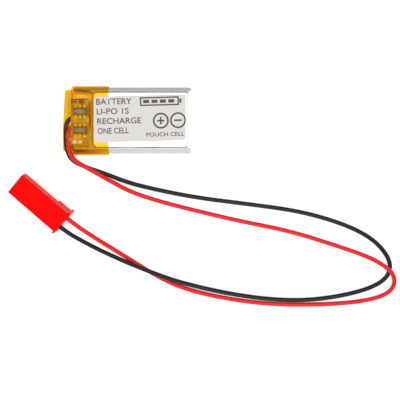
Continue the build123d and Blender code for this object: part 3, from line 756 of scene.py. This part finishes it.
def cup_rings():
    """The cup as rings up its wall, over its edge and in to the middle line of its top."""
    top = box_mm("pouch")[1].z
    foot = TERRACE_TOP - SHEET / 2
    rings = []
    for share in np.linspace(0, 1, WALL_RINGS):
        rings.append(level_ring(CUP_SLOPE * (1 - share) + WALL_END * share,
                                foot + (top - WALL_DROP - foot) * share))
    for share in np.linspace(EDGE_START, 1, EDGE_RINGS):
        angle = share * math.pi / 2
        rings.append(level_ring(WALL_END - (CUP_EDGE + WALL_END) * (1 - math.cos(angle)),
                                top - WALL_DROP + WALL_DROP * math.sin(angle)))
    edge = rings[-1]
    half = (CUP_SIDES[1] - CUP_SIDES[0]) / 2 - CUP_EDGE
    spine = edge.copy()
    spine[:, 0] = np.clip(edge[:, 0], CUP_END_LEFT + CUP_EDGE + half,
                          CUP_END_RIGHT - CUP_EDGE - half)
    spine[:, 1] = sum(CUP_SIDES) / 2
    for share in np.linspace(0, 1, TOP_RINGS)[1:]:
        rings.append(edge + (spine - edge) * share)
    return np.array(rings)


def make_cup():
    """The cup with its dished and dented top and its rumpled wall."""
    cup = cup_rings()
    top = box_mm("pouch")[1].z
    wall = ramp(top - cup[..., 2], 0, WALL_FADE)
    far_end = ramp(cup[..., 0], *CUP_FAR_END)
    inset = -cup_offset(cup[..., 0], cup[..., 1])
    dish = DISH[0] * np.exp(-np.maximum(inset, 0) / DISH[1])
    dent = np.abs(waves(cup, *TOP_DENTS)) + far_end * np.abs(waves(cup, *FAR_DENTS))
    cup[..., 2] -= (dish + dent) * (1 - wall)
    inward = np.zeros_like(cup[..., :2])
    inward[..., 0] = (CUP_END_LEFT + CUP_END_RIGHT) / 2 - cup[..., 0]
    inward[..., 1] = sum(CUP_SIDES) / 2 - cup[..., 1]
    inward /= np.maximum(np.linalg.norm(inward, axis=2, keepdims=True), 1e-6)
    upright = cup * np.array([1.0, 1.0, 0.35])      # rumples run up the wall
    rumple = RUMPLE_DEPTH[0] + RUMPLE_DEPTH[1] * far_end
    depth = wall * rumple * np.abs(waves(upright, *WALL_RUMPLES))
    cup[..., :2] += inward * depth[..., None]
    count = cup.shape[1]
    faces = []
    for level in range(cup.shape[0] - 1):
        for at in range(count):
            ahead = (at + 1) % count
            low = level * count
            faces.append((low + at, low + ahead, low + count + ahead, low + count + at))
    faces.append(tuple(range(count))[::-1])
    return cup.reshape(-1, 3), faces


def seal_section():
    """Points (y, z) across the pouch: down one folded seal, along the back, up the other."""
    low, high = box_mm("pouch")
    middle_z = low.z + SHEET / 2
    corner = high.y - SHEET / 2
    halves = []
    for side in (1, -1):
        tip = Vector((FLAP_TIPS[side], FLAP_TOP))
        knee = Vector((side * corner, middle_z))
        rise = (tip - knee).normalized()
        start = knee + rise * FLAP_BEND
        end = knee - Vector((side * FLAP_BEND, 0))
        half = [tip.lerp(start, share) for share in np.linspace(0, 1, FLAP_STEPS)]
        for share in np.linspace(0, 1, BEND_STEPS)[1:]:
            half.append(start.lerp(knee, share).lerp(knee.lerp(end, share), share))
        halves.append(half)
    first, last = halves[0][-1], halves[1][-1]
    flat = [first.lerp(last, share) for share in np.linspace(0, 1, BACK_STEPS)[1:-1]]
    return halves[0] + flat + halves[1][::-1]


def make_back_and_seals():
    """The back with both side seals as one sheet, folded up along the sides."""
    low, high = box_mm("pouch")
    middle_z = low.z + SHEET / 2
    section = seal_section()
    stations = np.linspace(0, 1, SEAL_STATIONS)
    grid = np.zeros((len(stations), len(section), 3))
    for column, (y, z) in enumerate(section):
        raised = min(1.0, max(0.0, (z - middle_z) / SEAL_RISE))
        end = CUP_END_RIGHT + (high.x - CUP_END_RIGHT) * raised
        grid[:, column] = np.column_stack([low.x + (end - low.x) * stations,
                                           np.full(len(stations), y), np.full(len(stations), z)])
    free = ramp(grid[..., 2], *FREE_FROM)
    ear = ramp(grid[..., 0], *EARS)
    lane = grid * np.array([1.0, 0.2, 0.3])         # long waves run along the seals
    outward = np.sign(grid[..., 1])
    grid[..., 1] += free * (waves(lane, *SEAL_WAVES[0]) + ear * waves(grid, *EAR_WAVES[0]))
    grid[..., 1] += outward * free * ear * EAR_SPREAD
    grid[..., 2] += free * (waves(lane, *SEAL_WAVES[1]) + ear * waves(grid, *EAR_WAVES[1]))
    return shell(grid, SHEET)


def seal_shade_share(y):
    """How much painted shade the foil gets: fully on the upper seal, less on the lower one, not on
    the cup.
    """
    if y > CUP_SIDES[1] + CUP_SLOPE / 2:
        return 1.0
    return LOWER_SEAL_SHADE if y < CUP_SIDES[0] - CUP_SLOPE / 2 else 0.0


def make_pouch(materials):
    """The pouch's foil, which stores how much painted shade it gets at each point."""
    points, faces = join_shapes(make_cup(), make_back_and_seals())
    pouch = add_piece("pouch_foil", points, faces, materials["foil"])
    weld = bmesh.new()
    weld.from_mesh(pouch.data)
    bmesh.ops.remove_doubles(weld, verts=weld.verts, dist=WELD * MM)
    weld.to_mesh(pouch.data)
    weld.free()
    # seal holds the share of painted shade at each point of the foil
    seal = pouch.data.attributes.new("seal", "FLOAT", "POINT")
    across = [vertex.co.y / MM for vertex in pouch.data.vertices]
    seal.data.foreach_set("value", [seal_shade_share(y) for y in across])
    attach(pouch, "pack")
    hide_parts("pouch")


# ---------------------------------------------------------------- tapes

def drape(support, pinned, rounds):
    """Heights of a film pulled down onto its supports, with the pinned places held."""
    height = np.full_like(support, support.max())
    held = ~np.isnan(pinned)
    pull = SAG * FILM_GRID ** 2 / 4
    for _ in range(rounds):
        around = np.pad(height, 1, mode="edge")
        mean = (around[:-2, 1:-1] + around[2:, 1:-1] + around[1:-1, :-2] + around[1:-1, 2:]) / 4
        height = np.maximum(support, mean - pull)
        height[held] = pinned[held]
    return height


def crease(x, y, start, end, height, width):
    """A ridge or, with a negative height, a valley along a line between two points."""
    line = np.array(end, float) - start
    length = np.hypot(*line)
    share = ((x - start[0]) * line[0] + (y - start[1]) * line[1]) / length ** 2
    nearest = np.clip(share, 0, 1)
    gap = np.hypot(x - start[0] - nearest * line[0], y - start[1] - nearest * line[1])
    taper = np.sin(nearest * math.pi) ** 0.5
    return height * taper * np.exp(-(gap / width) ** 2)


def raise_block(support, x, y, node, margin=0.0, drop=0.0):
    """Lets a film rest this far below a node's top, over the node and a margin round it."""
    low, high = box_mm(node)
    inside = ((x > low.x - margin) & (x < high.x + margin)
              & (y > low.y - margin) & (y < high.y + margin))
    support[inside] = np.maximum(support[inside], high.z - drop)


def crumple(x, y, height, support, folds, ripples, lowest):
    """A draped film's heights with its folds and waves, and where it is loose."""
    loose = np.clip((height - support) / LOOSE_GAP, 0, 1)
    places = np.stack([x, y, height], -1)
    flutter = sum(waves(places, *wave) for wave in ripples)
    ridges = sum(crease(x, y, *fold) for fold in folds)
    return height + (ridges + np.maximum(flutter, lowest)) * loose, loose


def line_field(grid, lines):
    """How strongly each point of a film's grid lies on one of these lines, on the upper side."""
    total = np.zeros(grid.shape[:2])
    for line in lines:
        total = np.maximum(total, crease(grid[..., 0], grid[..., 1], *line))
    return total * (grid[..., 2] > UPPER_SIDE)


def mark_film(tape, grid, slack):
    """Stores what the film's material needs at each point, for both faces of the film."""
    fields = {"loose": slack, "pleat_shade": line_field(grid, PLEAT_AND_SHADE_LINES), "glint": line_field(grid, GLINTS)}
    for name, field in fields.items():
        attribute = tape.data.attributes.new(name, "FLOAT", "POINT")
        values = np.concatenate([field.ravel(), field.ravel()]).astype(np.float32)
        attribute.data.foreach_set("value", values)


def wrap_field():
    """The wrap tape's top: its grid of places, its heights and where it hangs free."""
    low, high = box_mm("wrap_tape")
    xs = np.arange(low.x, high.x + FILM_GRID / 2, FILM_GRID)
    ys = np.arange(FLAP_TIPS[1] + FLAP_SIDE, FLAP_TIPS[-1] - FLAP_SIDE, -FILM_GRID)
    x, y = np.meshgrid(xs, ys, indexing="ij")
    support = np.maximum(cup_height(x, y), TERRACE_TOP)
    flap = (y > FLAP_TIPS[1] - FLAP_SIDE) | (y < FLAP_TIPS[-1] + FLAP_SIDE)
    support[flap] = FLAP_COVER
    raise_block(support, x, y, "pcm_board")
    for body in ("protection_ic_body", "mosfet_pair_body"):
        for margin, drop in CHIP_STEPS:
            raise_block(support, x, y, body, margin, drop)
    for chip in ("resistor_supply", "resistor_sense", "capacitor"):
        raise_block(support, x, y, chip, CHIP_MARGIN)
    pinned = np.full_like(support, np.nan)
    pinned[:, 0] = pinned[:, -1] = FLAP_COVER
    height = drape(support, pinned, WRAP_ROUNDS)
    height, loose = crumple(x, y, height, support, WRAP_FOLDS, WRAP_WAVES, WRAP_LOWEST)
    return xs, ys, height + FILM / 2 + FILM_SEAT, loose


def side_line(tip, side, shares):
    """Points (y, z) down a side of the wrap tape, from the folded seal's tip to its foot."""
    return [(tip + (side - tip) * share, FLAP_COVER * (1 - share) + SIDE_END * share)
            for share in shares]


def make_wrap(materials):
    """The wrap tape, once round the pack, with its end lapped under it."""
    xs, ys, height, loose = wrap_field()
    low, high = box_mm("wrap_tape")
    under = low.z + FILM * 1.5
    lap = low.z + FILM / 2
    side = high.y - FILM / 2
    upper_tip, lower_tip = ys[0], ys[-1]
    (lower_in, lower_up), (upper_in, upper_up) = WRAP_TURNS
    lap_end = [(LAP_END, lap), (LAP_END - LAP_STEP, lap), (-side + WRAP_CORNER, lap),
               (-side + lower_in, lower_up)]
    before = lap_end + side_line(lower_tip, -side, np.linspace(1, SIDE_START, SIDE_STEPS))
    foot = [(side - upper_in, upper_up), (side - WRAP_CORNER, under)]
    bottom = [(value, under)
              for value in np.linspace(side - UNDER_START, -side + UNDER_START, UNDER_STEPS)]
    after = side_line(upper_tip, side, np.linspace(SIDE_START, 1, SIDE_STEPS)) + foot + bottom
    grid = np.zeros((len(xs), len(before) + len(ys) + len(after), 3))
    for row, x in enumerate(xs):
        top = list(zip(ys[::-1], height[row, ::-1]))
        grid[row] = [(x, y, z) for y, z in before + top + after]
    waver = waves(grid * np.array([1.0, 0.6, 0.6]), *SIDE_WAVES)
    outer = np.abs(grid[..., 1]) > abs(lower_tip) + 0.1
    grid[..., 1] += np.where(outer & (grid[..., 2] > 0.3), waver, 0.0)
    tape = add_piece("wrap_tape_film", *shell(grid, FILM), materials["amber_tape"])
    slack = np.zeros(grid.shape[:2])
    slack[:, len(before):len(before) + len(ys)] = loose[:, ::-1]
    mark_film(tape, grid, slack)
    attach(tape, "pack")
    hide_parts("wrap_tape")
    return xs, ys, height


def rest_on_leads(support, x, y, lines, low, high):
    """Lets the end tape rest on the leads; returns 0 where it touches them, 1 away from them."""
    touching = np.ones_like(x)
    radius = LEAD / 2 + FILM
    for line in lines:
        for at in line[line[:, 1] > low.y - LEAD_PAST]:
            if at[0] < high.x:
                gap = np.hypot(x - at[0], y - at[1])
                touching = np.minimum(touching, np.clip((gap - radius) / LEAD_HAZE, 0, 1))
                crown = at[2] + np.sqrt(np.maximum(radius ** 2 - gap ** 2, 0))
                over = gap < radius
                support[over] = np.maximum(support, crown)[over]
    return touching


def make_end_tape(materials, wrap, lines):
    """The end tape, folded from the underside round the leads and onto the board's edge."""
    wrap_xs, wrap_ys, wrap_height = wrap
    low, high = box_mm("end_tape")
    left = low.x + FILM / 2
    base = low.z + FILM / 2
    board_left = box_mm("pcm_board")[0].x
    xs = np.arange(left, high.x + FILM_GRID / 2, FILM_GRID)
    ys = np.arange(low.y, high.y + FILM_GRID / 2, FILM_GRID)
    x, y = np.meshgrid(xs, ys, indexing="ij")
    support = np.full_like(x, END_REST)
    raise_block(support, x, y, "pcm_board", END_OVERLAP)
    over = x >= wrap_xs[0] - END_OVERLAP
    row = np.clip(np.searchsorted(wrap_xs, x[over]), 0, len(wrap_xs) - 1)
    column = np.clip(np.searchsorted(-wrap_ys, -y[over]), 0, len(wrap_ys) - 1)
    support[over] = np.maximum(support[over], wrap_height[row, column] + FILM)
    touching = rest_on_leads(support, x, y, lines, low, high)
    pinned = np.full_like(support, np.nan)
    pinned[0] = END_FOLD * 2 + END_RISE[0] * ramp(-ys, -END_RISE[1], END_RISE[2])
    height = drape(support, pinned, END_ROUNDS)
    height, loose = crumple(x, y, height, support, END_FOLDS, END_WAVES, END_LOWEST)
    count = len(ys)
    under = [(value, base)
             for value in np.linspace(wrap_xs[0] - END_OVERLAP, left + END_FOLD,
                                      END_UNDER_STEPS)]
    for angle in np.linspace(0, math.pi / 2, END_FOLD_STEPS)[1:]:
        under.append((left + END_FOLD - END_FOLD * math.sin(angle),
                      base + END_FOLD * (1 - math.cos(angle))))
    grid = np.zeros((len(under) + len(xs), count, 3))
    for row, (place, level) in enumerate(under):
        grid[row] = np.column_stack([np.full(count, place), ys, np.full(count, level)])
    grid[len(under):] = np.stack([x, y, height + FILM / 2], -1)
    inward = END_LEAN[0] * ramp(grid[..., 1], *END_LEAN_FROM) ** END_LEAN[1]
    wave = waves(grid[:, -1:], *END_EDGE)
    grid[..., 0] += inward * np.clip((board_left - grid[..., 0]) / (board_left - left), 0, 1)
    reach = ramp(np.abs(grid[..., 1]), *END_EDGE_FROM) ** 2
    grid[..., 1] += np.sign(grid[..., 1]) * reach * wave
    tape = add_piece("end_tape_film", *shell(grid, FILM), materials["amber_fold"])
    slack = np.ones(grid.shape[:2])
    slack[len(under):] = loose * touching
    mark_film(tape, grid, slack)
    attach(tape, "pack")
    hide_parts("end_tape")


# ---------------------------------------------------------------- label

def label_top(x):
    """Height of the label's upper face."""
    over_tape = box_mm("label")[1].z
    down = over_tape - box_mm("wrap_tape")[1].z + box_mm("pouch")[1].z
    step = box_mm("wrap_tape")[1].x
    return np.interp(x, [step + LABEL_STEP[0], step + LABEL_STEP[1]], [over_tape, down])


def make_label(materials):
    """The label, with rounded corners, laid over the tape's edge and slightly turned."""
    low, high = box_mm("label")
    turns = np.linspace(0, math.pi / 2, LABEL_CORNER_STEPS)[:-1]
    into_corner = LABEL_CORNER * (1 - np.cos(turns))
    xs = np.concatenate([low.x + into_corner,
                         np.linspace(low.x + LABEL_CORNER, high.x - LABEL_CORNER, LABEL_ROWS),
                         high.x - into_corner[::-1]])
    middle = (low.y + high.y) / 2
    half = (high.y - low.y) / 2
    grid = np.zeros((len(xs), LABEL_COLUMNS, 3))
    for row, x in enumerate(xs):
        end = min(x - low.x, high.x - x)
        notch = LABEL_CORNER - math.sqrt(max(0.0, LABEL_CORNER ** 2
                                             - max(0.0, LABEL_CORNER - end) ** 2))
        reach = half - min(notch, LABEL_CORNER * 0.98)
        grid[row] = np.column_stack([np.full(LABEL_COLUMNS, x),
                                     middle + np.linspace(-1, 1, LABEL_COLUMNS) * reach,
                                     np.full(LABEL_COLUMNS, label_top(x))])
    rim = np.minimum(grid[..., 0] - low.x, half - np.abs(grid[..., 1] - middle))
    grid[..., 1] += (grid[..., 0] - (low.x + high.x) / 2) * math.tan(PRINT_TILT)
    lifted = waves(grid, *LABEL_WAVES).clip(0)
    grid[..., 2] += lifted * np.exp(-np.maximum(rim, 0) / LABEL_RIM)
    grid[..., 2] -= LABEL_THICK / 2
    label = add_piece("printed_label", *shell(grid, LABEL_SHEET), materials["label"])
    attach(label, "pack")
    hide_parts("label")


def loop_band(outer, inner):
    """A flat printed band between two loops with the same number of points."""
    count = len(outer)
    faces = []
    for at in range(count):
        ahead = (at + 1) % count
        faces.append((at, ahead, count + ahead, count + at))
    return list(outer) + list(inner), faces


def circle(x, y, radius, count=48):
    angles = [2 * math.pi * step / count for step in range(count)]
    return [(x + radius * math.cos(angle), y + radius * math.sin(angle)) for angle in angles]


def box_corners(left, bottom, right, top):
    return [(left, bottom), (right, bottom), (right, top), (left, top)]


def printed_box(*edges):
    return box_corners(*edges), [(0, 1, 2, 3)]


def lettering(words, x, y, cap, width):
    """Outline faces of a line of capitals, scaled to a height and width."""
    curve = bpy.data.curves.new("words", "FONT")
    curve.body = words
    curve.resolution_u = LETTER_STEPS
    curve.offset = LETTER_WEIGHT
    holder = bpy.data.objects.new("words", curve)
    bpy.context.scene.collection.objects.link(holder)
    bpy.context.view_layer.update()
    mesh = bpy.data.meshes.new_from_object(holder.evaluated_get(
        bpy.context.evaluated_depsgraph_get()))
    flat = np.array([vertex.co[:2] for vertex in mesh.vertices])
    faces = [tuple(face.vertices) for face in mesh.polygons]
    low, high = flat.min(0), flat.max(0)
    flat = (flat - low) / (high - low) * (width, cap) + (x, y)
    bpy.data.objects.remove(holder)
    bpy.data.meshes.remove(mesh)
    return [tuple(point) for point in flat], faces


def make_print(materials):
    """Generic print: four lines of words, a battery sign, two polarity signs and a small line."""
    shapes = [lettering(*line) for line in PRINT_LINES]
    shapes.append(loop_band(*(box_corners(*edge) for edge in BATTERY_SIGN)))
    shapes.append(printed_box(*BATTERY_TIP))
    shapes.extend(printed_box(*bar) for bar in BATTERY_BARS)
    for x, y in (PLUS_SIGN, MINUS_SIGN):
        shapes.append(loop_band(*(circle(x, y, radius) for radius in SIGN_RING)))
        shapes.append(printed_box(x - SIGN_REACH, y - SIGN_HALF, x + SIGN_REACH, y + SIGN_HALF))
    x, y = PLUS_SIGN
    shapes.append(printed_box(x - SIGN_HALF, y + SIGN_HALF, x + SIGN_HALF, y + SIGN_REACH))
    shapes.append(printed_box(x - SIGN_HALF, y - SIGN_REACH, x + SIGN_HALF, y - SIGN_HALF))
    points, faces = join_shapes(*shapes)
    turn = np.array([[math.cos(PRINT_TILT), math.sin(PRINT_TILT)],
                     [-math.sin(PRINT_TILT), math.cos(PRINT_TILT)]])
    flat = np.array(points) @ turn
    heights = label_top(flat[:, 0]) - LABEL_DROP + INK_LIFT
    places = np.column_stack([flat, heights])
    ink = add_piece("label_print", places, faces, materials["ink"], smooth=False)
    thick = ink.modifiers.new("ink", "SOLIDIFY")
    thick.thickness = INK * MM
    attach(ink, "pack")


# ---------------------------------------------------------------- everything

make_camera()
MATERIALS = make_materials()
LINES = [
    make_lead("red", RED_ROUTE, MATERIALS["lead_red"]),
    make_lead("black", BLACK_ROUTE, MATERIALS["lead_black"]),
]
make_surroundings()
finish_nodes(MATERIALS)
make_pouch(MATERIALS)
WRAP = make_wrap(MATERIALS)
make_end_tape(MATERIALS, WRAP, LINES)
make_label(MATERIALS)
make_print(MATERIALS)
